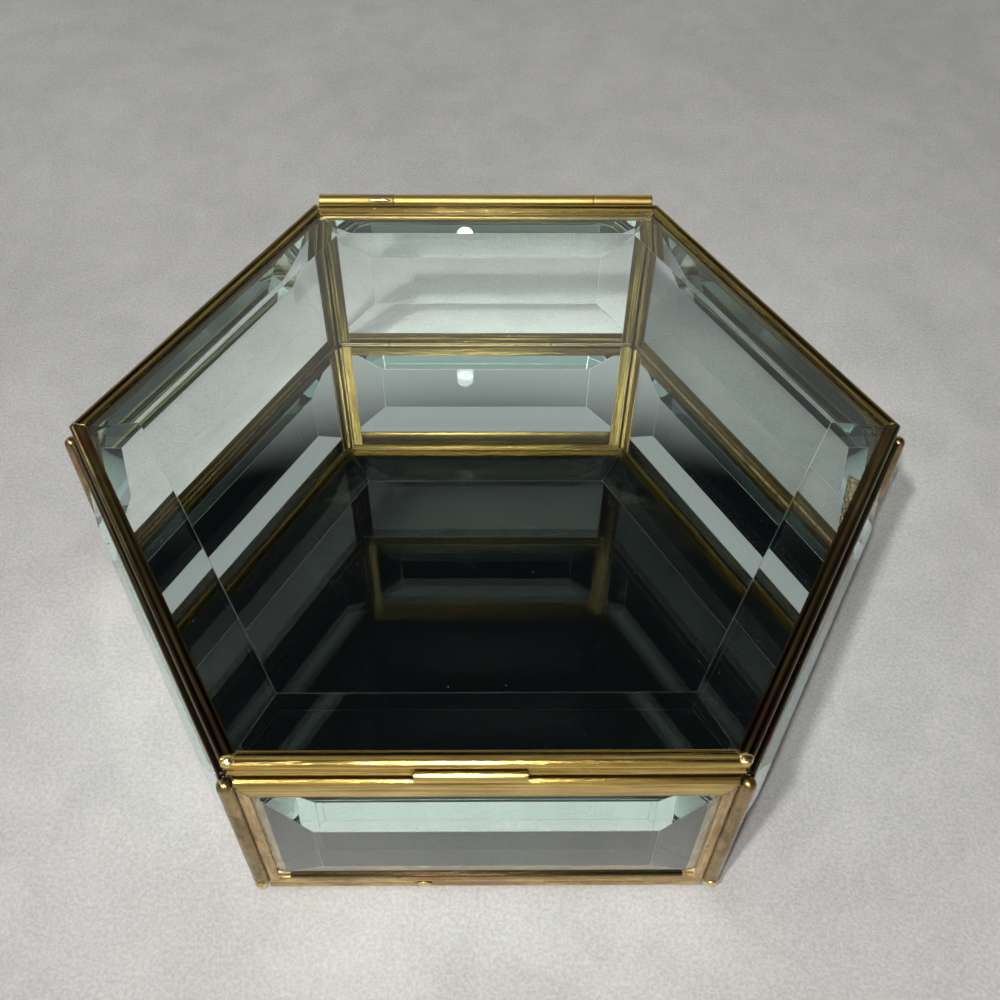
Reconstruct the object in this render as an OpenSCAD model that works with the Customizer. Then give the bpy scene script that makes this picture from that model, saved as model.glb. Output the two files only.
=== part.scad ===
// Hexagonal keepsake casket of bevelled glass panes in rolled brass channel,
// with a mirror floor, a tube hinge at the back and a fine stay chain.
// Millimetres. +Z is up, -Y is the front, and two corners lie on the X axis.

/* [Box] */
// Distance between opposite outer corners of the rim
rim_across = 180; // [160:1:220]
// Height of the rim above the table
rim_h = 49.4; // [44:0.2:70]
// How far the base frame lies back from the rim
base_inset = 0.4; // [0.2:0.1:1]
// Depth of the lips that hold the mirror
base_lip = 3.4; // [2.6:0.1:4]
// How far the lips that hold the mirror lie back from the bead
base_step = 0.25; // [0.15:0.05:0.35]

/* [Brass channel] */
// Width of the wall channels across the glass
channel_w = 4.2; // [4:0.1:5]
// Radius of the rolled bead along a channel
bead_r = 1; // [0.8:0.05:1.1]
// Sheet thickness of the channels
brass_t = 0.4; // [0.3:0.05:0.5]
// How far the web of a channel lies back from its beads
web_step = 0.3; // [0.1:0.05:0.4]
// How far the flat lips lie back from the bead
lip_step = 0.35; // [0.25:0.05:0.4]
// Depth of the outer lip under the rim
rim_lip = 5.8; // [4.6:0.1:6.2]
// Depth of the inner lip under the rim
rim_lip_in = 1.8; // [1.6:0.1:2.4]
// Width of the lips of the upright channels
side_lip = 3.5; // [2.8:0.1:4]
// Height of the inner lip at the foot of a wall
foot_lip = 3.5; // [3:0.1:5]
// Gap between two channels that meet at a corner
seam = 0.3; // [0.2:0.05:0.5]
// How far the strips of the base frame stop short of their corner
base_seam = 2; // [0.3:0.1:2.4]

/* [Corner posts] */
// Radius of the solder post in each corner
post_r = 1.5; // [1.2:0.1:1.8]
// How far the post stands out past the rim corner
post_proud = 0.9; // [0.6:0.1:1.1]

/* [Glass] */
// Thickness of the mirror
mirror_t = 3; // [2:0.1:4]
// How far the middle of a wall pane stands out past the rim
wall_proud = 1.6; // [0.8:0.1:1.8]
// Width of the bevels at the sides and the foot of a wall pane
wall_bevel = 11; // [8:0.1:12]
// Width of the bevel at the top of a wall pane
top_bevel = 15; // [12:0.1:15.4]
// Angle of the bevels of the wall panes
wall_angle = 14; // [12:0.5:14.5]
// Width of the bevel around the lid pane
lid_bevel = 12; // [8:0.1:16]
// Angle of the bevel of the lid pane
lid_angle = 8.5; // [6:0.5:9]
// Clearance between glass and channel on each face
glass_gap = 0.1; // [0.05:0.05:0.2]
// Clearance between the edge of a pane and the channel web
edge_gap = 0.3; // [0.2:0.1:0.6]

/* [Lid] */
// Height of the lid frame
lid_h = 4.4; // [4.2:0.1:6]
// How far the lid frame lies back from the rim
lid_inset = 1.2; // [0.8:0.1:2]
// Depth of the upper lip around the lid pane
lid_lip = 3; // [2.4:0.1:4]
// Depth of the lower lip around the lid pane
lid_lip_low = 2.2; // [1.8:0.1:2.4]
// Gap between the closed lid and the rim
lid_gap = 0.1; // [0.05:0.05:0.3]
// Angle at which the stay chain stops the lid
open_angle = 95; // [90:1:100]

/* [Lift tab] */
// Length of the lift tab along the lid frame
tab_len = 19.3; // [12:0.1:30]
// Height of the lift tab
tab_h = 2.4; // [1.8:0.1:3]
// How far the lift tab stands out from the lid frame
tab_reach = 1.5; // [1.5:0.1:3]
// Height of the lift tab above the bottom of the lid frame
tab_rise = 0.2; // [0.1:0.1:1]
// Sideways place of the middle of the lift tab
tab_x = -2.7; // [-20:0.1:20]

/* [Hinge] */
// Outer radius of the hinge tube
knuckle_r = 1.75; // [1.5:0.05:2.2]
// Radius of the hinge pin
pin_r = 0.8; // [0.6:0.05:1]
// Running clearance between the pin and the knuckles
pin_gap = 0.05; // [0.02:0.01:0.08]
// Gap between each end of the row of knuckles and the corner post
hinge_end = 0.1; // [0:0.1:14]
// Length of the middle knuckle, which the lid carries
lid_knuckle_len = 51.7; // [30:0.1:56]
// Sideways place of the middle of the lid knuckle
lid_knuckle_x = 2; // [-4:0.1:4]
// Gap between neighbouring knuckles
knuckle_gap = 0.1; // [0.05:0.05:0.3]
// Gap between the hinge tube and the lid frame
tube_gap = 0.45; // [0.3:0.05:0.8]
// Depth of the hinge axis below the top of the lid frame
axis_drop = 1.1; // [0.6:0.1:1.6]
// Thickness of the leaves that carry the knuckles
leaf_t = 0.6; // [0.4:0.1:0.9]
// How far the leaves reach down the rim
leaf_reach = 3.6; // [2:0.1:4.4]

/* [Stay chain] */
// Radius of the chain
chain_r = 0.7; // [0.5:0.05:0.9]
// Distance of the lid end of the chain from the outer face of the rim
lid_chain_in = 5.3; // [5.2:0.1:5.6]
// Distance of the rim end of the chain from the outer face of the rim
rim_chain_in = 7.3; // [7.2:0.1:9]
// Place of the lid end of the chain along its wall
lid_eye_t = 25.5; // [20:0.1:28]
// Distance between the two ends of the chain along the wall
eye_pitch = 5.3; // [4:0.1:8]
// Depth of the rim eye below the rim
rim_eye_drop = 4; // [3.2:0.1:4.2]
// Depth of the lid eye below the lid frame
lid_eye_drop = 2; // [1.4:0.1:3]
// Bare length that each stretch of chain leaves at a point where it turns
turn_gap = 0.8; // [0.8:0.05:1.2]
// Bare length that each half of the chain leaves in the middle
middle_gap = 1.4; // [1:0.1:2]
// Radius of the barrel at the end of an eye
eye_r = 0.5; // [0.4:0.05:0.6]
// Radius of the wire of the eyes
eye_wire_r = 0.35; // [0.25:0.05:0.35]

/* [Hidden] */
$fn = 48;
half_angle = 30;

// The rim, its apothem and the faces of the channel around a wall pane
rim_apothem = rim_across / 2 * cos(half_angle);
lip_set = lip_step + brass_t;
web_t = 0.9;
pane_back = rim_apothem - channel_w + lip_set + glass_gap;
wall_t = rim_apothem + wall_proud - pane_back;
lip_out = rim_apothem - lip_step;
lip_in = rim_apothem - channel_w + lip_step;
slot_end = half_side(lip_in + brass_t) - brass_t / cos(half_angle);

// The base frame and the mirror in it
base_apothem = rim_apothem - base_inset;
base_set = base_step + brass_t;
base_h = mirror_t + 2 * glass_gap + 2 * base_set;
mirror_z = base_set + glass_gap;
mirror_top = mirror_z + mirror_t;
wall_z = base_h + 0.05;

// The lid frame, its pane and its hinge axis
lid_z = rim_h + lid_gap;
lid_top = lid_z + lid_h;
lid_apothem = rim_apothem - lid_inset;
lid_grip = lid_lip - web_t - edge_gap;
lid_slot = lid_h - 2 * lip_set - 2 * glass_gap;
lid_t = lid_slot + (lid_bevel - lid_grip) * tan(lid_angle);
axis_y = lid_apothem + tube_gap + knuckle_r;
axis_z = lid_top - axis_drop;

// The corner posts
post_place = rim_across / 2 + post_proud - post_r;
post_gap = 0.05;

// The row of knuckles reaches from post to post along the back
hinge_len = 2 * (post_place * sin(half_angle) - post_r - hinge_end);

// The origin is the middle of the outline, on the table
back_reach = max(axis_y + knuckle_r, post_place * cos(half_angle) + post_r);
front_reach = max(
    lid_apothem + post_gap + tab_reach,
    post_place * cos(half_angle) + post_r,
    pane_back + wall_t
);
origin_y = (front_reach - back_reach) / 2;

// Ends of the chain in the plane of its wall: distance out, place along, height
chain_side = 330;
lid_eye = [rim_apothem - lid_chain_in, lid_eye_t, lid_z - lid_eye_drop];
rim_eye = [rim_apothem - rim_chain_in, lid_eye_t + eye_pitch, rim_h - rim_eye_drop];
floor_z = mirror_top + chain_r + 0.15;

// The chain is as long as the open lid needs it
lid_eye_xyz = from_wall(lid_eye);
rim_eye_xyz = from_wall(rim_eye);
stay_len = norm(swing(lid_eye_xyz, open_angle) - rim_eye_xyz);
lid_hang = lid_eye[2] - floor_z;
rim_hang = rim_eye[2] - floor_z;
lid_lay = (stay_len - lid_hang - rim_hang - eye_pitch) / 2;
rim_lay = lid_lay + eye_pitch;

SIDES = [
    ["front", 270],
    ["front_right", 330],
    ["back_right", 30],
    ["back", 90],
    ["back_left", 150],
    ["front_left", 210]
];

// Turns a point given as distance out, place along and height into x, y, z
function from_wall(p) = [
    p[0] * cos(chain_side) - p[1] * sin(chain_side),
    p[0] * sin(chain_side) + p[1] * cos(chain_side),
    p[2]
];

// Swings a point of the lid about the hinge axis
function swing(p, a) =
    let (y = p[1] - axis_y, z = p[2] - axis_z)
    [p[0], axis_y + y * cos(a) + z * sin(a), axis_z - y * sin(a) + z * cos(a)];

// Half length of a side at a distance out, less the seam
function half_side(out, gap = seam) = (out - gap) * tan(half_angle);

// Puts a piece drawn for the +X side onto its own side of the hexagon
module on_side(turn) {
    translate([0, origin_y, 0]) rotate([0, 0, turn]) children();
}

// Draws a section given as distance out and height along the whole side
module run_along() {
    rotate([90, 0, 0]) linear_extrude(height = rim_across, center = true) children();
}

// Everything between the two corner planes of a side
module side_wedge(h, gap = seam) {
    far = rim_across;
    linear_extrude(height = h)
        polygon([[gap, 0], [far, half_side(far, gap)], [far, -half_side(far, gap)]]);
}

// Rolled channel, open towards +X, with its web along the Y axis
module channel_section(w, low_lip, high_lip, step) {
    set = step + brass_t;
    long = max(low_lip, high_lip);
    difference() {
        union() {
            translate([bead_r, bead_r]) circle(bead_r);
            translate([bead_r, w - bead_r]) circle(bead_r);
            translate([web_step, bead_r]) square([2 * bead_r - web_step, w - 2 * bead_r]);
            translate([bead_r, step]) square([low_lip - bead_r, w / 2 - step]);
            translate([bead_r, w / 2]) square([high_lip - bead_r, w / 2 - step]);
        }
        translate([web_t, set]) square([long, w - 2 * set]);
    }
}

// Cuts one bevel off the top of a plate whose edge lies at x = edge
module bevel_cut(edge, top, len, w, angle) {
    translate([edge - w, 0, top])
        rotate([0, angle, 0])
        translate([0, -len / 2, 0])
        cube([1.2 * w, len, w]);
}

// The part of a side that the rim rail takes from the upright channels
module rim_mitre(drop) {
    corner = rim_apothem * tan(half_angle);
    low = half_side(lip_out) - side_lip;
    split = lip_in + channel_w / 2;
    rotate([90, 0, 90]) translate([0, 0, split - drop]) linear_extrude(height = rim_across)
        polygon([
            [-corner, rim_h + 1], [-corner, rim_h - drop], [-low, rim_h - rim_lip - drop],
            [low, rim_h - rim_lip - drop], [corner, rim_h - drop], [corner, rim_h + 1]
        ]);
    translate([0, -corner, rim_h - rim_lip_in - drop])
        cube([split, 2 * corner, rim_lip_in + drop + 1]);
}

module post_notches() {
    for (s = [-1, 1]) rotate([0, 0, s * half_angle]) translate([post_place, 0, 0])
        cylinder(r = post_r + post_gap, h = rim_h + 1);
}

module mirror_base() {
    color([0.75, 0.78, 0.8]) translate([0, origin_y, mirror_z]) cylinder(
        r = (base_apothem - web_t - edge_gap) / cos(half_angle), h = mirror_t, $fn = 6);
}

module base_frame() {
    color([0.62, 0.48, 0.22]) for (side = SIDES) on_side(side[1]) intersection() {
        run_along() translate([base_apothem, 0]) mirror([1, 0]) {
            channel_section(base_h, base_lip, base_lip, base_step);
            translate([bead_r, 0]) square([base_lip - bead_r, base_set]);
        }
        side_wedge(base_h, base_seam);
    }
}

module wall_pane(turn) {
    half_w = slot_end - edge_gap;
    low = wall_z + web_t + edge_gap;
    high = rim_h - web_t - edge_gap;
    tall = high - low;
    color([0.75, 0.9, 0.86, 0.35]) on_side(turn)
        translate([pane_back, 0, (low + high) / 2]) rotate([0, 90, 0]) difference() {
            translate([-tall / 2, -half_w, 0]) cube([tall, 2 * half_w, wall_t]);
            bevel_cut(tall / 2, wall_t, 3 * half_w, wall_bevel, wall_angle);
            rotate([0, 0, 180]) bevel_cut(tall / 2, wall_t, 3 * half_w, top_bevel, wall_angle);
            for (s = [90, 270])
                rotate([0, 0, s]) bevel_cut(half_w, wall_t, 3 * half_w, wall_bevel, wall_angle);
        }
}

module rim_rail(turn) {
    color([0.66, 0.51, 0.22]) on_side(turn) difference() {
        intersection() {
            run_along() translate([rim_apothem - channel_w, rim_h]) rotate(-90)
                channel_section(channel_w, rim_lip_in, rim_lip, lip_step);
            side_wedge(rim_h + 1);
            rim_mitre(0);
        }
        post_notches();
    }
}

module foot_rail(turn) {
    half_len = half_side(lip_in) - side_lip - post_gap;
    color([0.66, 0.51, 0.22]) on_side(turn) intersection() {
        run_along() difference() {
            translate([rim_apothem, wall_z]) rotate(90)
                channel_section(channel_w, foot_lip, foot_lip, lip_step);
            translate([rim_apothem - lip_set, 0]) square(rim_h);
        }
        translate([0, -half_len, 0]) cube([rim_across, 2 * half_len, rim_h]);
    }
}

module side_channel(turn, hand) {
    lip_back = lip_out - brass_t;
    lip_front = lip_in + brass_t;
    ridge_r = 0.5;
    color([0.64, 0.5, 0.24]) on_side(turn) mirror([0, hand, 0]) difference() {
        translate([0, 0, wall_z]) linear_extrude(height = rim_h - wall_z) {
            polygon([
                [lip_out, half_side(lip_out) - side_lip], [lip_out, half_side(lip_out)],
                [lip_in, half_side(lip_in)], [lip_in, half_side(lip_in) - side_lip],
                [lip_front, half_side(lip_in) - side_lip], [lip_front, slot_end],
                [lip_back, slot_end], [lip_back, half_side(lip_out) - side_lip]
            ]);
            translate([lip_front - ridge_r, half_side(lip_in) - 1.3 * ridge_r]) circle(ridge_r);
        }
        rim_mitre(post_gap);
        post_notches();
    }
}

module corner_post(turn) {
    tall = rim_h - post_gap - wall_z;
    color([0.7, 0.58, 0.3]) translate([0, origin_y, 0]) rotate([0, 0, turn])
        translate([post_place, 0, wall_z]) {
            cylinder(r = post_r, h = tall - post_r);
            translate([0, 0, tall - post_r]) sphere(post_r);
        }
}

module lid_pane() {
    apothem = lid_apothem - web_t - edge_gap;
    color([0.78, 0.9, 0.87, 0.35]) translate([0, origin_y, lid_z + lip_set + glass_gap])
        difference() {
            cylinder(r = apothem / cos(half_angle), h = lid_t, $fn = 6);
            for (side = SIDES) rotate([0, 0, side[1]])
                bevel_cut(apothem, lid_t, rim_across, lid_bevel, lid_angle);
        }
}

module lid_rail(turn) {
    color([0.6, 0.46, 0.2]) on_side(turn) intersection() {
        run_along() translate([lid_apothem, lid_z]) mirror([1, 0])
            channel_section(lid_h, lid_lip_low, lid_lip, lip_step);
        side_wedge(lid_top + 1);
    }
}

// A length of the hinge tube with its leaf, both bored for the pin
module knuckle(x0, x1, bore_r) {
    difference() {
        union() {
            translate([x0, axis_y, axis_z]) rotate([0, 90, 0])
                cylinder(r = knuckle_r, h = x1 - x0);
            children();
        }
        translate([x0 - 1, axis_y, axis_z]) rotate([0, 90, 0])
            cylinder(r = bore_r, h = x1 - x0 + 2);
    }
}

module lid_knuckle() {
    x0 = lid_knuckle_x - lid_knuckle_len / 2;
    x1 = lid_knuckle_x + lid_knuckle_len / 2;
    leaf_y = lid_apothem + post_gap;
    color([0.72, 0.56, 0.24]) translate([0, origin_y, 0]) knuckle(x0, x1, pin_r + pin_gap)
        translate([x0, leaf_y, axis_z - knuckle_r])
        cube([x1 - x0, axis_y - leaf_y - pin_r, 2 * leaf_t]);
}

module rim_knuckle(x0, x1) {
    leaf_low = rim_h - leaf_reach;
    color([0.66, 0.51, 0.22]) translate([0, origin_y, 0]) knuckle(x0, x1, pin_r + pin_gap)
        translate([x0, rim_apothem + post_gap, leaf_low])
        cube([x1 - x0, leaf_t, axis_z - leaf_low]);
}

module rim_knuckle_left() {
    rim_knuckle(-hinge_len / 2, lid_knuckle_x - lid_knuckle_len / 2 - knuckle_gap);
}

module rim_knuckle_right() {
    rim_knuckle(lid_knuckle_x + lid_knuckle_len / 2 + knuckle_gap, hinge_len / 2);
}

module hinge_pin() {
    color([0.8, 0.68, 0.38]) translate([-hinge_len / 2, axis_y + origin_y, axis_z])
        rotate([0, 90, 0]) cylinder(r = pin_r, h = hinge_len);
}

module lift_tab() {
    nose_r = tab_h / 2;
    color([0.7, 0.55, 0.25])
        translate([tab_x, origin_y - lid_apothem - post_gap, lid_z + tab_rise])
        rotate([90, 0, 90]) linear_extrude(height = tab_len, center = true) intersection() {
            translate([-tab_reach, 0]) square([tab_reach, tab_h]);
            union() {
                translate([nose_r - tab_reach, nose_r]) circle(nose_r);
                translate([nose_r - tab_reach, 0]) square([tab_reach, tab_h]);
            }
        }
}

// Barrel for the end of the chain, on a wire that reaches up and out to the brass
module chain_eye(place, wire_end, wire_z) {
    w = eye_wire_r;
    color([0.75, 0.6, 0.28]) on_side(chain_side) {
        translate(place) rotate([90, 0, 0]) cylinder(r = eye_r, h = 2 * eye_r, center = true);
        translate([place[0] - w, place[1] - w, place[2]])
            cube([2 * w, 2 * w, wire_z + w - place[2]]);
        translate([place[0] - w, place[1] - w, wire_z - w])
            cube([wire_end - place[0] + w, 2 * w, 2 * w]);
    }
}

module lid_chain_eye() {
    chain_eye(lid_eye, lid_apothem - lid_lip_low - post_gap, lid_z + lip_set - eye_wire_r);
}

// The wire of this eye runs up inside the glass to the inner bead of the rim
module rim_chain_eye() {
    w = eye_wire_r;
    wire_end = rim_apothem - channel_w - post_gap;
    chain_eye(rim_eye, wire_end, rim_eye[2]);
    color([0.75, 0.6, 0.28]) on_side(chain_side)
        translate([wire_end - 2 * w, rim_eye[1] - w, rim_eye[2]])
        cube([2 * w, 2 * w, rim_h - web_t - rim_eye[2]]);
}

// One straight stretch of the chain between two points, which ends short of the second
module chain_run(from, to, short) {
    step = to - from;
    len = norm(step);
    color([0.72, 0.58, 0.28]) on_side(chain_side)
        translate(from)
        rotate([0, acos(step[2] / len), atan2(step[1], step[0])])
        translate([0, 0, turn_gap])
        cylinder(r = chain_r, h = len - turn_gap - short, $fn = 24);
}

module hang(eye) {
    chain_run(eye, [eye[0], eye[1], floor_z], turn_gap);
}

module lay(eye, len) {
    start = [eye[0], eye[1], floor_z];
    chain_run(start, start - [0, len, 0], middle_gap);
}

module chain_rim_hang() {
    hang(rim_eye);
}

module chain_rim_lay() {
    lay(rim_eye, rim_lay);
}

module chain_lid_hang() {
    hang(lid_eye);
}

module chain_lid_lay() {
    lay(lid_eye, lid_lay);
}

mirror_base();
base_frame();
for (side = SIDES) {
    wall_pane(side[1]);
    rim_rail(side[1]);
    foot_rail(side[1]);
    side_channel(side[1], 0);
    side_channel(side[1], 1);
    lid_rail(side[1]);
}
corner_post(0);  // corner_post_right
corner_post(60);  // corner_post_back_right
corner_post(120);  // corner_post_back_left
corner_post(180);  // corner_post_left
corner_post(240);  // corner_post_front_left
corner_post(300);  // corner_post_front_right
lid_pane();
lid_knuckle();
rim_knuckle_left();
rim_knuckle_right();
hinge_pin();
lift_tab();
lid_chain_eye();
rim_chain_eye();
chain_rim_hang();
chain_rim_lay();
chain_lid_hang();
chain_lid_lay();
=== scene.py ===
import math

import bmesh
import bpy
from mathutils import Matrix, Vector, noise


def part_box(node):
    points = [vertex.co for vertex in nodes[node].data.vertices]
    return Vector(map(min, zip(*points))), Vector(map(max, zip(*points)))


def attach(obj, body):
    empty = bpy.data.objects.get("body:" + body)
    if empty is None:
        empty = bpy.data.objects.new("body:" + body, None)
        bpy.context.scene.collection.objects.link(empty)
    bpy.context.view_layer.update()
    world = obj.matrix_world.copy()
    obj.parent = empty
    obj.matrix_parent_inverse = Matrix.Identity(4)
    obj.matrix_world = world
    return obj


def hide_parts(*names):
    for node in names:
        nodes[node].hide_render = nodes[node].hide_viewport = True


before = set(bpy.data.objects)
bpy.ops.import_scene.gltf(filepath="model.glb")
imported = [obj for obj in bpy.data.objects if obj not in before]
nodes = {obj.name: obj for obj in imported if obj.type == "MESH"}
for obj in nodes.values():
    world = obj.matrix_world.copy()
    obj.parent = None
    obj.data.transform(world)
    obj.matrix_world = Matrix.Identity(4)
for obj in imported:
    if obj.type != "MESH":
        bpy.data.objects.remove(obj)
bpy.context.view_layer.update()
print("frame loaded,", len(nodes), "nodes")


# Node helpers

def newMaterial(name):
    material = bpy.data.materials.new(name)
    material.use_nodes = True
    tree = material.node_tree
    return material, tree, tree.nodes["Principled BSDF"]


def addNode(tree, kind, **settings):
    node = tree.nodes.new(kind)
    for key, value in settings.items():
        setattr(node, key, value)
    return node


def setInputs(node, values):
    for key, value in values.items():
        node.inputs[key].default_value = value


def feed(tree, socket, value):
    if isinstance(value, bpy.types.NodeSocket):
        tree.links.new(value, socket)
    else:
        socket.default_value = value


def mixColour(tree, mask, low, high):
    node = addNode(tree, "ShaderNodeMix", data_type="RGBA")
    sockets = {s.name: s for s in node.inputs if s.enabled}
    feed(tree, sockets["Factor"], mask)
    for socket, colour in (("A", low), ("B", high)):
        feed(tree, sockets[socket], (*colour, 1) if isinstance(colour, tuple) else colour)
    return [s for s in node.outputs if s.enabled][0]


def mathNode(tree, operation, *values, clamp=False):
    node = addNode(tree, "ShaderNodeMath", operation=operation, use_clamp=clamp)
    for socket, value in zip(node.inputs, values):
        feed(tree, socket, value)
    return node.outputs[0]


def rampMask(tree, value, low, high, falling=False):
    node = addNode(tree, "ShaderNodeMapRange", interpolation_type="SMOOTHSTEP")
    if falling:
        setInputs(node, {"To Min": 1, "To Max": 0})
    feed(tree, node.inputs["Value"], value)
    feed(tree, node.inputs["From Min"], low)
    feed(tree, node.inputs["From Max"], high)
    return node.outputs["Result"]


def newGroup(name, inputs):
    group = bpy.data.node_groups.new(name, "ShaderNodeTree")
    for label, value in inputs.items():
        socket = group.interface.new_socket(label, in_out="INPUT", socket_type="NodeSocketFloat")
        socket.default_value = value
    group.interface.new_socket("Mask", in_out="OUTPUT", socket_type="NodeSocketFloat")
    return group, addNode(group, "NodeGroupInput").outputs, addNode(group, "NodeGroupOutput").inputs


def useGroup(tree, group, values):
    node = addNode(tree, "ShaderNodeGroup", node_tree=group)
    setInputs(node, values)
    return node.outputs["Mask"]


def between(limits):
    return {"Low": limits[0], "High": limits[1]}


# Shared effects, each a mask

def makeMottle():
    group, given, result = newGroup("mottle", {"Scale": 100, "Low": 0.4, "High": 0.6, "Distortion": 0.5})
    place = addNode(group, "ShaderNodeTexCoord")
    pattern = addNode(group, "ShaderNodeTexNoise")
    setInputs(pattern, {"Detail": 5, "Roughness": 0.6})
    link = group.links.new
    link(place.outputs["Object"], pattern.inputs["Vector"])
    link(given["Scale"], pattern.inputs["Scale"])
    link(given["Distortion"], pattern.inputs["Distortion"])
    link(rampMask(group, pattern.outputs["Fac"], given["Low"], given["High"]), result["Mask"])
    return group


def makeStreaks():
    group, given, result = newGroup(
        "streaks", {"Turn": 0, "Out": 400, "Run": 12, "Rise": 400, "Low": 0.4, "High": 0.6})
    place = addNode(group, "ShaderNodeTexCoord")
    turned = addNode(group, "ShaderNodeVectorRotate", rotation_type="Z_AXIS", invert=True)
    stretch = addNode(group, "ShaderNodeCombineXYZ")
    drawn = addNode(group, "ShaderNodeVectorMath", operation="MULTIPLY")
    pattern = addNode(group, "ShaderNodeTexNoise")
    setInputs(pattern, {"Scale": 1, "Detail": 3, "Roughness": 0.55, "Distortion": 0.3})
    link = group.links.new
    link(place.outputs["Object"], turned.inputs["Vector"])
    link(given["Turn"], turned.inputs["Angle"])  # the side's own direction, so that lines follow the strip
    for axis, label in zip("XYZ", ("Out", "Run", "Rise")):
        link(given[label], stretch.inputs[axis])
    link(turned.outputs["Vector"], drawn.inputs[0])
    link(stretch.outputs["Vector"], drawn.inputs[1])
    link(drawn.outputs["Vector"], pattern.inputs["Vector"])
    link(rampMask(group, pattern.outputs["Fac"], given["Low"], given["High"]), result["Mask"])
    return group


def makeEdgeWear():
    group, given, result = newGroup("edgeWear", {"Radius": 0.0004, "Low": 0.02, "High": 0.22})
    rounded = addNode(group, "ShaderNodeBevel", samples=5)
    flat = addNode(group, "ShaderNodeNewGeometry")
    compare = addNode(group, "ShaderNodeVectorMath", operation="DOT_PRODUCT")
    link = group.links.new
    link(given["Radius"], rounded.inputs["Radius"])
    link(rounded.outputs["Normal"], compare.inputs[0])
    link(flat.outputs["Normal"], compare.inputs[1])
    turnedAway = mathNode(group, "SUBTRACT", 1.0, compare.outputs["Value"])
    link(rampMask(group, turnedAway, given["Low"], given["High"]), result["Mask"])
    return group


# Painted shade: darker in hollows, corners and joints between parts, from ambient occlusion.
def makeHollowShade():
    group, given, result = newGroup("paintedShade", {"Distance": 0.001, "Low": 0.35, "High": 0.8})
    hollow = addNode(group, "ShaderNodeAmbientOcclusion", samples=4)
    link = group.links.new
    link(given["Distance"], hollow.inputs["Distance"])
    link(rampMask(group, hollow.outputs["AO"], given["Low"], given["High"], falling=True), result["Mask"])
    return group


def makeSpecks():
    group, given, result = newGroup("specks", {"Scale": 400, "Size": 0.08, "Share": 0.5})
    place = addNode(group, "ShaderNodeTexCoord")
    cells = addNode(group, "ShaderNodeTexVoronoi")
    chance = addNode(group, "ShaderNodeSeparateColor")
    link = group.links.new
    link(place.outputs["Object"], cells.inputs["Vector"])
    link(given["Scale"], cells.inputs["Scale"])
    link(cells.outputs["Color"], chance.inputs["Color"])
    near = mathNode(group, "LESS_THAN", cells.outputs["Distance"], given["Size"])
    some = mathNode(group, "LESS_THAN", chance.outputs["Red"], given["Share"])
    link(mathNode(group, "MULTIPLY", near, some), result["Mask"])
    return group


mottle = makeMottle()
streaks = makeStreaks()
edgeWear = makeEdgeWear()
paintedShade = makeHollowShade()
specks = makeSpecks()
print("shared effects made")


# Brass

def makeBrass(name, look, turn, upright):
    material, tree, shader = newMaterial(name)
    across, along = look["across"], look["along"]
    run, rise = (across, along) if upright else (along, across)
    lines = {"Out": across, "Run": run, "Rise": rise}
    finer = {key: look["finer"] * value for key, value in lines.items()}
    blend = (0.5 - look["blend"], 0.5 + look["blend"])
    broad = useGroup(tree, streaks, {"Turn": turn, **lines, **between(blend)})
    fine = useGroup(tree, streaks, {"Turn": turn, **finer, **between(look["fineLimits"])})
    cloud = useGroup(tree, mottle, {"Scale": look["cloud"], **between(look["cloudLimits"])})
    stain = useGroup(tree, mottle, {"Scale": look["stain"], **between(look["stainLimits"])})
    worn = useGroup(tree, edgeWear, {"Radius": look["wearRadius"], **between(look["wearLimits"])})
    # painted shade: near black in hollows and joints, and rougher there
    hollowShade = useGroup(tree, paintedShade, {"Distance": look["shadeReach"], **between(look["shadeLimits"])})
    drawn = mathNode(tree, "MULTIPLY", broad, 1 - look["cloudShare"])
    aged = mathNode(tree, "MULTIPLY_ADD", cloud, look["cloudShare"], drawn)
    colour = mixColour(tree, aged, look["bright"], look["aged"])
    for mask, depth, tint in (
        (fine, look["lines"], look["deep"]), (stain, look["stainDepth"], look["stainTint"]),
        (hollowShade, look["paintedShade"], look["hollowShade"]), (worn, look["wear"], look["bare"]),
    ):
        colour = mixColour(tree, mathNode(tree, "MULTIPLY", mask, depth), colour, tint)
    tree.links.new(colour, shader.inputs["Base Color"])
    rough = mathNode(tree, "MULTIPLY_ADD", aged, look["roughSpread"], look["rough"])
    rough = mathNode(tree, "MULTIPLY_ADD", hollowShade, look["hollowRough"], rough, clamp=True)
    tree.links.new(rough, shader.inputs["Roughness"])
    bump = addNode(tree, "ShaderNodeBump")
    setInputs(bump, {"Strength": look["bump"], "Distance": look["bumpDepth"]})
    tree.links.new(mathNode(tree, "MULTIPLY_ADD", fine, look["fineBump"], broad), bump.inputs["Height"])
    rolled = addNode(tree, "ShaderNodeBevel", samples=4)
    rolled.inputs["Radius"].default_value = look["rolled"]
    tree.links.new(rolled.outputs["Normal"], bump.inputs["Normal"])
    tree.links.new(bump.outputs["Normal"], shader.inputs["Normal"])
    shader.inputs["Metallic"].default_value = 1
    return material


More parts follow.
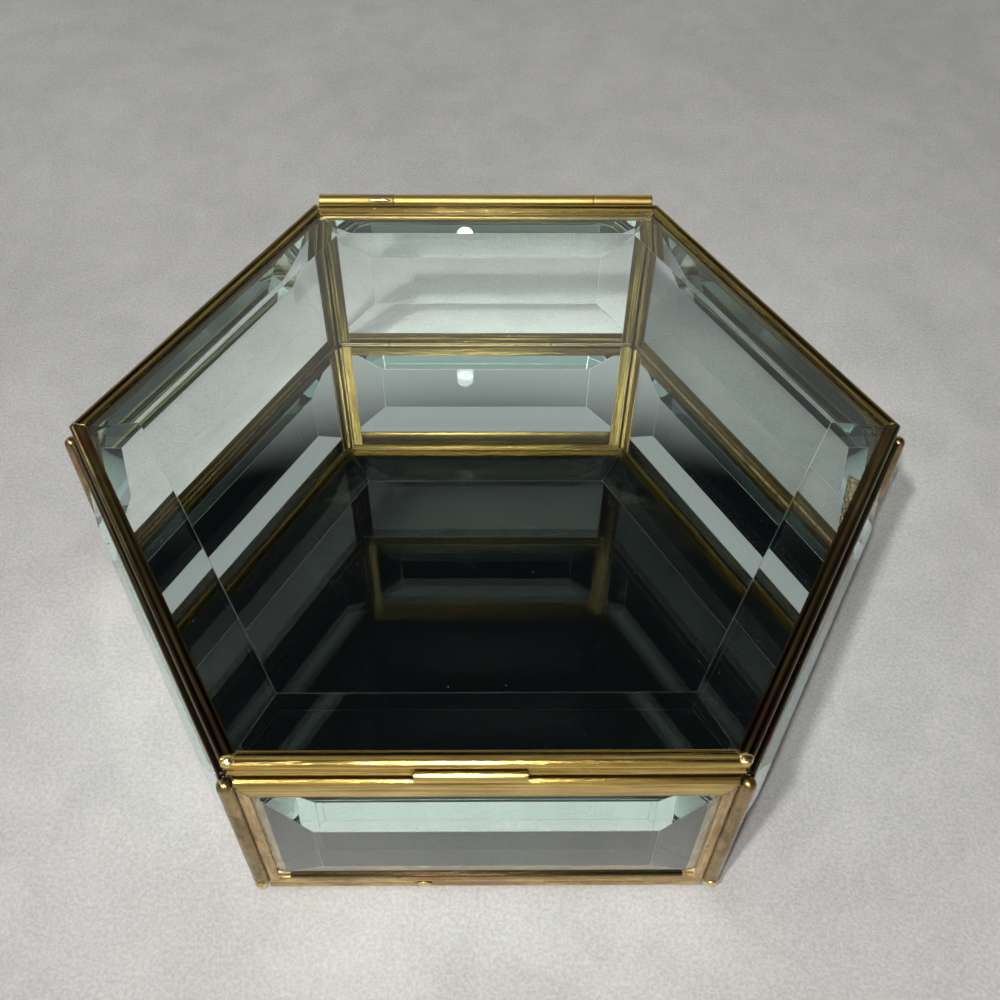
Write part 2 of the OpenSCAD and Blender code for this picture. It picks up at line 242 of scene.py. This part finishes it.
goldLook = {
    "bright": (0.92, 0.66, 0.20), "aged": (0.62, 0.42, 0.11), "deep": (0.13, 0.08, 0.02), "lines": 0.62,
    "along": 16, "across": 1500, "blend": 0.09, "finer": 3.5, "fineLimits": (0.36, 0.66),  # drawn lines
    "cloud": 110, "cloudShare": 0.5, "cloudLimits": (0.36, 0.68),
    "stain": 45, "stainLimits": (0.54, 0.68), "stainTint": (0.40, 0.17, 0.10), "stainDepth": 0.3,
    # painted shade in hollows and joints: its reach, limits, near-black colour and depth
    "shadeReach": 0.0013, "shadeLimits": (0.4, 0.9), "hollowShade": (0.03, 0.02, 0.01), "paintedShade": 0.9,
    "hollowRough": 0.25,
    "wearRadius": 0.0002, "wearLimits": (0.02, 0.22), "bare": (1.0, 0.86, 0.48), "wear": 0.5,
    "rough": 0.1, "roughSpread": 0.12, "bump": 0.22, "bumpDepth": 0.0001, "fineBump": 0.3,
    "rolled": 0.0007,  # radius that the edges of the strip seem to have
}
# Painted shade: a darker copy of the gold brass for the side rails facing away from the light; the maroon
# stains are the brass's own.
shadedSideLook = dict(
    goldLook, bright=(0.15, 0.11, 0.035), aged=(0.055, 0.038, 0.014), deep=(0.02, 0.014, 0.007), lines=0.75,
    stainTint=(0.10, 0.02, 0.018), stainDepth=0.7, wear=0.15, bare=(0.55, 0.42, 0.18))
# Painted half shade: an olive copy of the gold brass for the back side rails.
halfShadedSideLook = dict(
    goldLook, bright=(0.58, 0.43, 0.12), aged=(0.26, 0.19, 0.05), deep=(0.05, 0.035, 0.01), lines=0.75,
    stainDepth=0.15, cloud=80, wear=0.3)
# Painted highlight and shade: near black with bright yellow stripes, for the back uprights and the back foot
# rail.
stripedLightLook = dict(
    goldLook, bright=(1.0, 0.74, 0.22), aged=(0.085, 0.06, 0.016), deep=(0.03, 0.02, 0.007), lines=0.7,
    bump=0.4, stainDepth=0.1, cloud=70, cloudShare=0.1, rough=0.07, wear=0.8, rolled=0.0004, blend=0.035)
rosyLook = dict(
    goldLook, bright=(0.80, 0.59, 0.30), aged=(0.50, 0.34, 0.14), deep=(0.24, 0.13, 0.06), cloud=170,
    stainTint=(0.46, 0.24, 0.17), stainDepth=0.6, rough=0.2, along=60, across=500, lines=0.5, rolled=0.0004)
polishedLook = dict(
    goldLook, aged=(0.76, 0.54, 0.17), lines=0.25, stainDepth=0, rough=0.09, cloud=45, bump=0.04)
hingeLook = dict(polishedLook, rough=0.3, lines=0.3, aged=(0.56, 0.40, 0.12), stain=60)
# Rougher, and darker as painted shade, for the left knuckle of the barrel, which catches no highlight.
shadedKnuckleLook = dict(hingeLook, bright=(0.60, 0.46, 0.16), aged=(0.42, 0.31, 0.10), rough=0.34)
postLook = dict(
    goldLook, bright=(0.46, 0.34, 0.15), aged=(0.24, 0.16, 0.06), deep=(0.10, 0.06, 0.025), along=90,
    across=260, stainDepth=0.5, cloud=300, rough=0.2, bump=0.2, shadeReach=0.001, lines=0.4)
wireLook = dict(
    goldLook, bright=(0.72, 0.54, 0.20), aged=(0.03, 0.02, 0.008), deep=(0.02, 0.012, 0.006), along=300,
    across=300, stainDepth=0.1, rough=0.16, cloud=900, shadeReach=0.0006, rolled=0.0001)
dropLook = dict(
    polishedLook, bright=(1.0, 0.78, 0.34), aged=(0.86, 0.62, 0.24), rough=0.22, shadeReach=0.0003,
    rolled=0.0001)
brassLooks = {
    "gold": goldLook, "dark": shadedSideLook, "olive": halfShadedSideLook, "inner": stripedLightLook, "rosy": rosyLook,
    "polished": polishedLook, "hinge": hingeLook, "dull": shadedKnuckleLook, "post": postLook, "wire": wireLook,
    "drop": dropLook,
}
sideTurns = {  # which way each wall faces, in degrees
    "front": 270, "front_right": 330, "back_right": 30, "back": 90, "back_left": 150, "front_left": 210,
}
madeBrass = {}


def brassFor(family, side="front", upright=False):
    name = "_".join([family, side] + ["upright"] * upright)
    if name not in madeBrass:
        madeBrass[name] = makeBrass(name, brassLooks[family], math.radians(sideTurns[side]), upright)
    return madeBrass[name]


# Glass and mirror

glassLook = {
    "ior": 1.52, "tint": (0.97, 1.0, 0.985), "depthTint": (0.42, 0.90, 0.79), "density": 12,
    "smudge": {"Scale": 28, "Low": 0.55, "High": 0.8, "Distortion": 2},
    "smudgeTint": 0.97, "smudgeHaze": 0.004,
    "dust": {"Scale": 500, "Size": 0.05, "Share": 0.1}, "dustHaze": 0.2,
    "ridge": {"Radius": 0.00022, "Low": 0.0002, "High": 0.0015}, "ridgeHaze": 0.35,  # edges of the bevels
}


def makeGlass(name, look):
    material, tree, shader = newMaterial(name)
    smudge = useGroup(tree, mottle, look["smudge"])
    dust = useGroup(tree, specks, look["dust"])
    ridge = useGroup(tree, edgeWear, look["ridge"])
    smudged = tuple(look["smudgeTint"] * c for c in look["tint"])
    tree.links.new(mixColour(tree, smudge, look["tint"], smudged), shader.inputs["Base Color"])
    haze = mathNode(tree, "MULTIPLY", smudge, look["smudgeHaze"])
    haze = mathNode(tree, "MULTIPLY_ADD", dust, look["dustHaze"], haze)
    haze = mathNode(tree, "MULTIPLY_ADD", ridge, look["ridgeHaze"], haze)
    tree.links.new(haze, shader.inputs["Roughness"])
    setInputs(shader, {"Metallic": 0, "Transmission Weight": 1, "IOR": look["ior"]})
    depth = addNode(tree, "ShaderNodeVolumeAbsorption")
    setInputs(depth, {"Color": (*look["depthTint"], 1), "Density": look["density"]})
    tree.links.new(depth.outputs[0], tree.nodes["Material Output"].inputs["Volume"])
    return material


mirrorLook = {
    "clear": (0.80, 0.84, 0.83), "hazed": (0.76, 0.80, 0.79), "dusty": (0.45, 0.45, 0.44),
    "haze": {"Scale": 22, "Low": 0.45, "High": 0.8, "Distortion": 1}, "rough": 0.001, "hazeRough": 0.003,
    "dust": {"Scale": 700, "Size": 0.05, "Share": 0.1}, "dustRough": 0.6,
}


def makeMirror(name, look):
    material, tree, shader = newMaterial(name)
    haze = useGroup(tree, mottle, look["haze"])
    dust = useGroup(tree, specks, look["dust"])
    colour = mixColour(tree, haze, look["clear"], look["hazed"])
    tree.links.new(mixColour(tree, dust, colour, look["dusty"]), shader.inputs["Base Color"])
    rough = mathNode(tree, "MULTIPLY_ADD", haze, look["hazeRough"], look["rough"])
    tree.links.new(mathNode(tree, "MULTIPLY_ADD", dust, look["dustRough"], rough), shader.inputs["Roughness"])
    tree.links.new(mathNode(tree, "SUBTRACT", 1.0, dust), shader.inputs["Metallic"])
    return material


glass = makeGlass("bevelledGlass", glassLook)
mirror = makeMirror("mirror", mirrorLook)


# Finish of each node

def finishNode(name, material):
    mesh = nodes[name].data
    mesh.materials.clear()
    mesh.materials.append(material)


# Painted light: the same brass rails are gold at the front and back, painted shade on the front sides,
# painted half shade on the back sides.
frameFamily = {
    "front": "gold", "front_right": "dark", "back_right": "olive", "back": "gold", "back_left": "olive",
    "front_left": "dark",
}
# The front foot rail takes the painted shade; the back one the painted highlight and shade stripes.
footFamily = dict(frameFamily, front="dark", back="inner")
loneFamily = {
    "base_frame": "rosy", "lid_knuckle": "hinge", "hinge_pin": "polished", "lift_tab": "polished",
    "rim_knuckle_left": "dull", "rim_knuckle_right": "hinge",
}
for side in sideTurns:
    finishNode("lid_rail_" + side, brassFor(frameFamily[side], side))
    finishNode("rim_rail_" + side, brassFor(frameFamily[side], side))
    finishNode("foot_rail_" + side, brassFor(footFamily[side], side))
    finishNode("wall_pane_" + side, glass)
    nodes["wall_pane_" + side].visible_shadow = side.endswith("right")  # lamps light the inside past the rest
    for hand in ("_a", "_b"):
        # back uprights take the painted highlight and shade stripes
        uprightFamily = "inner" if side.startswith("back") else "rosy"
        finishNode("side_channel_" + side + hand, brassFor(uprightFamily, side, True))
for name in nodes:
    if name.startswith("corner_post"):
        finishNode(name, brassFor("post", "front", True))
    elif name.startswith("chain") or name.endswith("eye"):
        finishNode(name, brassFor("wire"))
for name, family in loneFamily.items():
    finishNode(name, brassFor(family))
finishNode("lid_pane", glass)
nodes["lid_pane"].visible_shadow = False
finishNode("mirror_base", mirror)
print("brass, glass and mirror made")


# Stay chain, in place of its four plain stretches

chainLook = {
    "pitch": 0.0017, "wire": 0.00023, "halfWidth": 0.00047, "twist": 42, "around": 14, "ring": 6,
    "radius": 0.0007, "turnGap": 0.0008, "middleGap": 0.0014, "bridge": 0.001, "bend": 1.2, "mostOut": 0.7,
}
chainTurn = math.radians(sideTurns["front_right"])
wallRun = Vector((-math.sin(chainTurn), math.cos(chainTurn), 0))  # along the chain's wall
wallOut = Vector((math.cos(chainTurn), math.sin(chainTurn), 0))


def placePiece(name, builder, material, body):
    mesh = bpy.data.meshes.new(name)
    bmesh.ops.recalc_face_normals(builder, faces=builder.faces)
    builder.to_mesh(mesh)
    builder.free()
    mesh.materials.append(material)
    piece = bpy.data.objects.new(name, mesh)
    bpy.context.scene.collection.objects.link(piece)
    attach(piece, body)
    return piece


def addLink(builder, start, end, twist, look):
    axis = (end - start).normalized()
    across = axis.cross(wallOut if abs(axis.dot(wallOut)) < look["mostOut"] else wallRun).normalized()
    across = Matrix.Rotation(twist, 3, axis) @ across
    up = axis.cross(across)
    middle = (start + end) / 2
    halfLength = (end - start).length / 2 + look["wire"]
    rings = []
    for i in range(look["around"]):
        a = 2 * math.pi * i / look["around"]
        spot = middle + axis * halfLength * math.cos(a) + across * look["halfWidth"] * math.sin(a)
        out = (axis * look["halfWidth"] * math.cos(a) + across * halfLength * math.sin(a)).normalized()
        ring = []
        for j in range(look["ring"]):
            b = 2 * math.pi * j / look["ring"]
            ring.append(builder.verts.new(spot + look["wire"] * (out * math.cos(b) + up * math.sin(b))))
        rings.append(ring)
    for i, ring in enumerate(rings):
        following = rings[(i + 1) % len(rings)]
        for j in range(len(ring)):
            k = (j + 1) % len(ring)
            builder.faces.new((ring[j], ring[k], following[k], following[j])).smooth = True


def makeRun(name, points, body, node, look):
    builder = bmesh.new()
    count = 0
    for start, end in zip(points, points[1:]):
        number = max(1, round((end - start).length / look["pitch"]))
        for i in range(number):
            twist = math.radians(look["twist"] * (1 if count % 2 else -1))
            addLink(builder, start.lerp(end, i / number), start.lerp(end, (i + 1) / number), twist, look)
            count += 1
    piece = placePiece(name, builder, brassFor("wire"), body)
    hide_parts(node)


def makeChain(look):
    for part, inward in (("rim", 1), ("lid", -1)):
        chain = "chain_" + part
        low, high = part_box(chain + "_hang")
        eye = Vector(((low[0] + high[0]) / 2, (low[1] + high[1]) / 2, high[2] + look["turnGap"]))
        knee = Vector((eye.x, eye.y, low[2] - look["turnGap"]))
        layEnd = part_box(chain + "_lay")[0][1]
        reach = (knee.y - layEnd - look["radius"] * wallOut.x / 2) / wallRun.y + look["middleGap"]
        lastTurn = knee - wallRun * (reach - look["bend"] * look["bridge"])
        meeting = knee - wallRun * reach + wallOut * inward * look["bridge"]
        makeRun("curb_" + chain + "_upper", [eye, knee], chain + "_upper", chain + "_hang", look)
        makeRun("curb_" + chain + "_lower", [knee, lastTurn, meeting], chain + "_lower", chain + "_lay", look)


makeChain(chainLook)
print("chain made")


# Solder drops where the frames are joined

pinLow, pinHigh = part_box("hinge_pin")
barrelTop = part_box("rim_knuckle_left")[1][2]
pinY, pinZ = (pinLow[1] + pinHigh[1]) / 2, (pinLow[2] + pinHigh[2]) / 2
flank = (barrelTop - pinZ) * math.sqrt(0.5)  # half way up the barrel's side
cornerDrops = {  # one at the right corner and one at the left
    "lid_front": {"place": (0.0436, -0.0761, 0.0534), "size": (0.0013, 0.0012, 0.0009), "body": "lid"},
    "foot_front": {"place": (0.0447, -0.0792, 0.0052), "size": (0.0012, 0.0008, 0.0012), "body": "box"},
}
loneDrops = {
    "hinge": {
        "place": (-0.0275, pinY - flank, pinZ + flank), "size": (0.0029, 0.0004, 0.0004), "body": "box"},
    "base_front": {"place": (-0.0125, -0.0781, 0.0018), "size": (0.0014, 0.0003, 0.0008), "body": "box"},
}
lumpLook = {"height": 0.22, "waves": 1.4, "shift": 100, "rounds": 4}


def makeDrop(name, look):
    builder = bmesh.new()
    bmesh.ops.create_icosphere(builder, subdivisions=lumpLook["rounds"], radius=1)
    place = Vector(look["place"])
    for vert in builder.verts:
        lump = noise.noise(vert.co * lumpLook["waves"] + place * lumpLook["shift"])
        lump = 1 + lumpLook["height"] * lump
        vert.co = place + Vector(c * s * lump for c, s in zip(vert.co, look["size"]))
    for face in builder.faces:
        face.smooth = True
    piece = placePiece(name, builder, brassFor("drop"), look["body"])


for corner, look in cornerDrops.items():
    across, *others = look["place"]
    for hand, sign in (("left", -1), ("right", 1)):
        makeDrop("solder_" + corner + "_" + hand, dict(look, place=(sign * across, *others)))
for spot, look in loneDrops.items():
    makeDrop("solder_" + spot, look)
print("solder made")


# Floor, light and camera

floorLook = {
    "half": 1.5, "pale": (0.54, 0.54, 0.535), "shade": (0.31, 0.31, 0.31), "rough": 0.9,
    # broad darker patches are painted shade of cloth folds
    "foldShade": {"Scale": 9, "Low": 0.35, "High": 0.65, "Distortion": 0.4}, "foldShadeShare": 0.2,
    "patches": {"Scale": 60, "Low": 0.3, "High": 0.7, "Distortion": 0.6}, "patchShare": 0.2,
    "weave": {"Scale": 1300, "Low": 0.3, "High": 0.7}, "weaveShare": 0.45, "bump": 0.25, "bumpDepth": 0.0004,
}


def makeFloor(look):
    mesh = bpy.data.meshes.new("floor")
    builder = bmesh.new()
    bmesh.ops.create_grid(builder, x_segments=2, y_segments=2, size=look["half"])
    builder.to_mesh(mesh)
    builder.free()
    floor = bpy.data.objects.new("floor", mesh)
    bpy.context.scene.collection.objects.link(floor)
    material, tree, shader = newMaterial("floorCloth")
    # painted shade of cloth folds
    foldShade = useGroup(tree, mottle, look["foldShade"])
    patches = useGroup(tree, mottle, look["patches"])
    weave = useGroup(tree, mottle, look["weave"])
    mixed = mathNode(tree, "MULTIPLY", foldShade, look["foldShadeShare"])
    mixed = mathNode(tree, "MULTIPLY_ADD", patches, look["patchShare"], mixed)
    mixed = mathNode(tree, "MULTIPLY_ADD", weave, look["weaveShare"], mixed)
    tree.links.new(mixColour(tree, mixed, look["pale"], look["shade"]), shader.inputs["Base Color"])
    bump = addNode(tree, "ShaderNodeBump")
    setInputs(bump, {"Strength": look["bump"], "Distance": look["bumpDepth"]})
    tree.links.new(weave, bump.inputs["Height"])
    tree.links.new(bump.outputs["Normal"], shader.inputs["Normal"])
    setInputs(shader, {"Roughness": look["rough"]})
    mesh.materials.append(material)


lampLook = {
    "key": {"place": (-0.62, -0.80, 1.55), "size": 0.10, "power": 21, "colour": (1.0, 0.98, 0.95)},
    "side": {"place": (-1.3, 0.55, 0.75), "size": 0.5, "power": 3, "colour": (0.95, 0.98, 1.0)},
    "front": {"place": (-0.0123, -0.17, 0.27), "size": 0.010, "power": 0.5, "colour": (1.0, 0.97, 0.92)},
}


def makeLamp(name, look):
    lamp = bpy.data.lights.new(name, "AREA")
    lamp.shape = "DISK"
    lamp.size = look["size"]
    lamp.energy = look["power"]
    lamp.color = look["colour"]
    item = bpy.data.objects.new(name, lamp)
    item.location = look["place"]
    item.rotation_euler = (-Vector(look["place"])).to_track_quat("-Z", "Y").to_euler()
    bpy.context.scene.collection.objects.link(item)


worldLook = {  # pale near the horizon, dark overhead and high at both sides
    "low": (0.46, 0.46, 0.46), "high": (0.004, 0.0045, 0.005), "from": 0.70, "to": 0.76, "strength": 1,
    "sideFrom": 0.45, "sideTo": 0.75, "aloftFrom": 0.12, "aloftTo": 0.34,
}


def makeWorld(look):
    world = bpy.data.worlds.new("studio")
    bpy.context.scene.world = world
    world.use_nodes = True
    tree = world.node_tree
    place = addNode(tree, "ShaderNodeTexCoord")
    parts = addNode(tree, "ShaderNodeSeparateXYZ")
    tree.links.new(place.outputs["Generated"], parts.inputs[0])
    overhead = rampMask(tree, parts.outputs["Z"], look["from"], look["to"])
    aside = mathNode(tree, "ABSOLUTE", parts.outputs["X"])
    aside = rampMask(tree, aside, look["sideFrom"], look["sideTo"])
    aloft = rampMask(tree, parts.outputs["Z"], look["aloftFrom"], look["aloftTo"])
    dark = mathNode(tree, "MAXIMUM", overhead, mathNode(tree, "MULTIPLY", aside, aloft))
    shade = tree.nodes["Background"]
    tree.links.new(mixColour(tree, dark, look["low"], look["high"]), shade.inputs["Color"])
    shade.inputs["Strength"].default_value = look["strength"]


cameraLook = {
    "place": (-0.00033, -0.16021, 0.23136), "pitch": 48.397, "yaw": 0.851, "roll": 0.612, "sensor": 36,
    "focalPixels": 1123.2, "imagePixels": 1000, "offCentre": (-4.1, -68.3), "nearest": 0.01,
}


def makeCamera(look):
    lens = bpy.data.cameras.new("camera")
    lens.sensor_width = look["sensor"]
    lens.lens = look["focalPixels"] * look["sensor"] / look["imagePixels"]
    lens.clip_start = look["nearest"]
    lens.shift_x = -look["offCentre"][0] / look["imagePixels"]
    lens.shift_y = look["offCentre"][1] / look["imagePixels"]
    item = bpy.data.objects.new("camera", lens)
    item.matrix_world = (
        Matrix.Translation(look["place"])
        @ Matrix.Rotation(math.radians(-look["yaw"]), 4, "Z")
        @ Matrix.Rotation(math.radians(90 - look["pitch"]), 4, "X")
        @ Matrix.Rotation(math.radians(look["roll"]), 4, "Z")
    )
    bpy.context.scene.collection.objects.link(item)
    bpy.context.scene.camera = item


makeFloor(floorLook)
for lampName, look in lampLook.items():
    makeLamp(lampName, look)
makeWorld(worldLook)
makeCamera(cameraLook)
scene = bpy.context.scene
scene.view_settings.view_transform = "Standard"
scene.cycles.max_bounces = 24
scene.cycles.transmission_bounces = 24
scene.cycles.glossy_bounces = 12
print("floor, light and camera made")
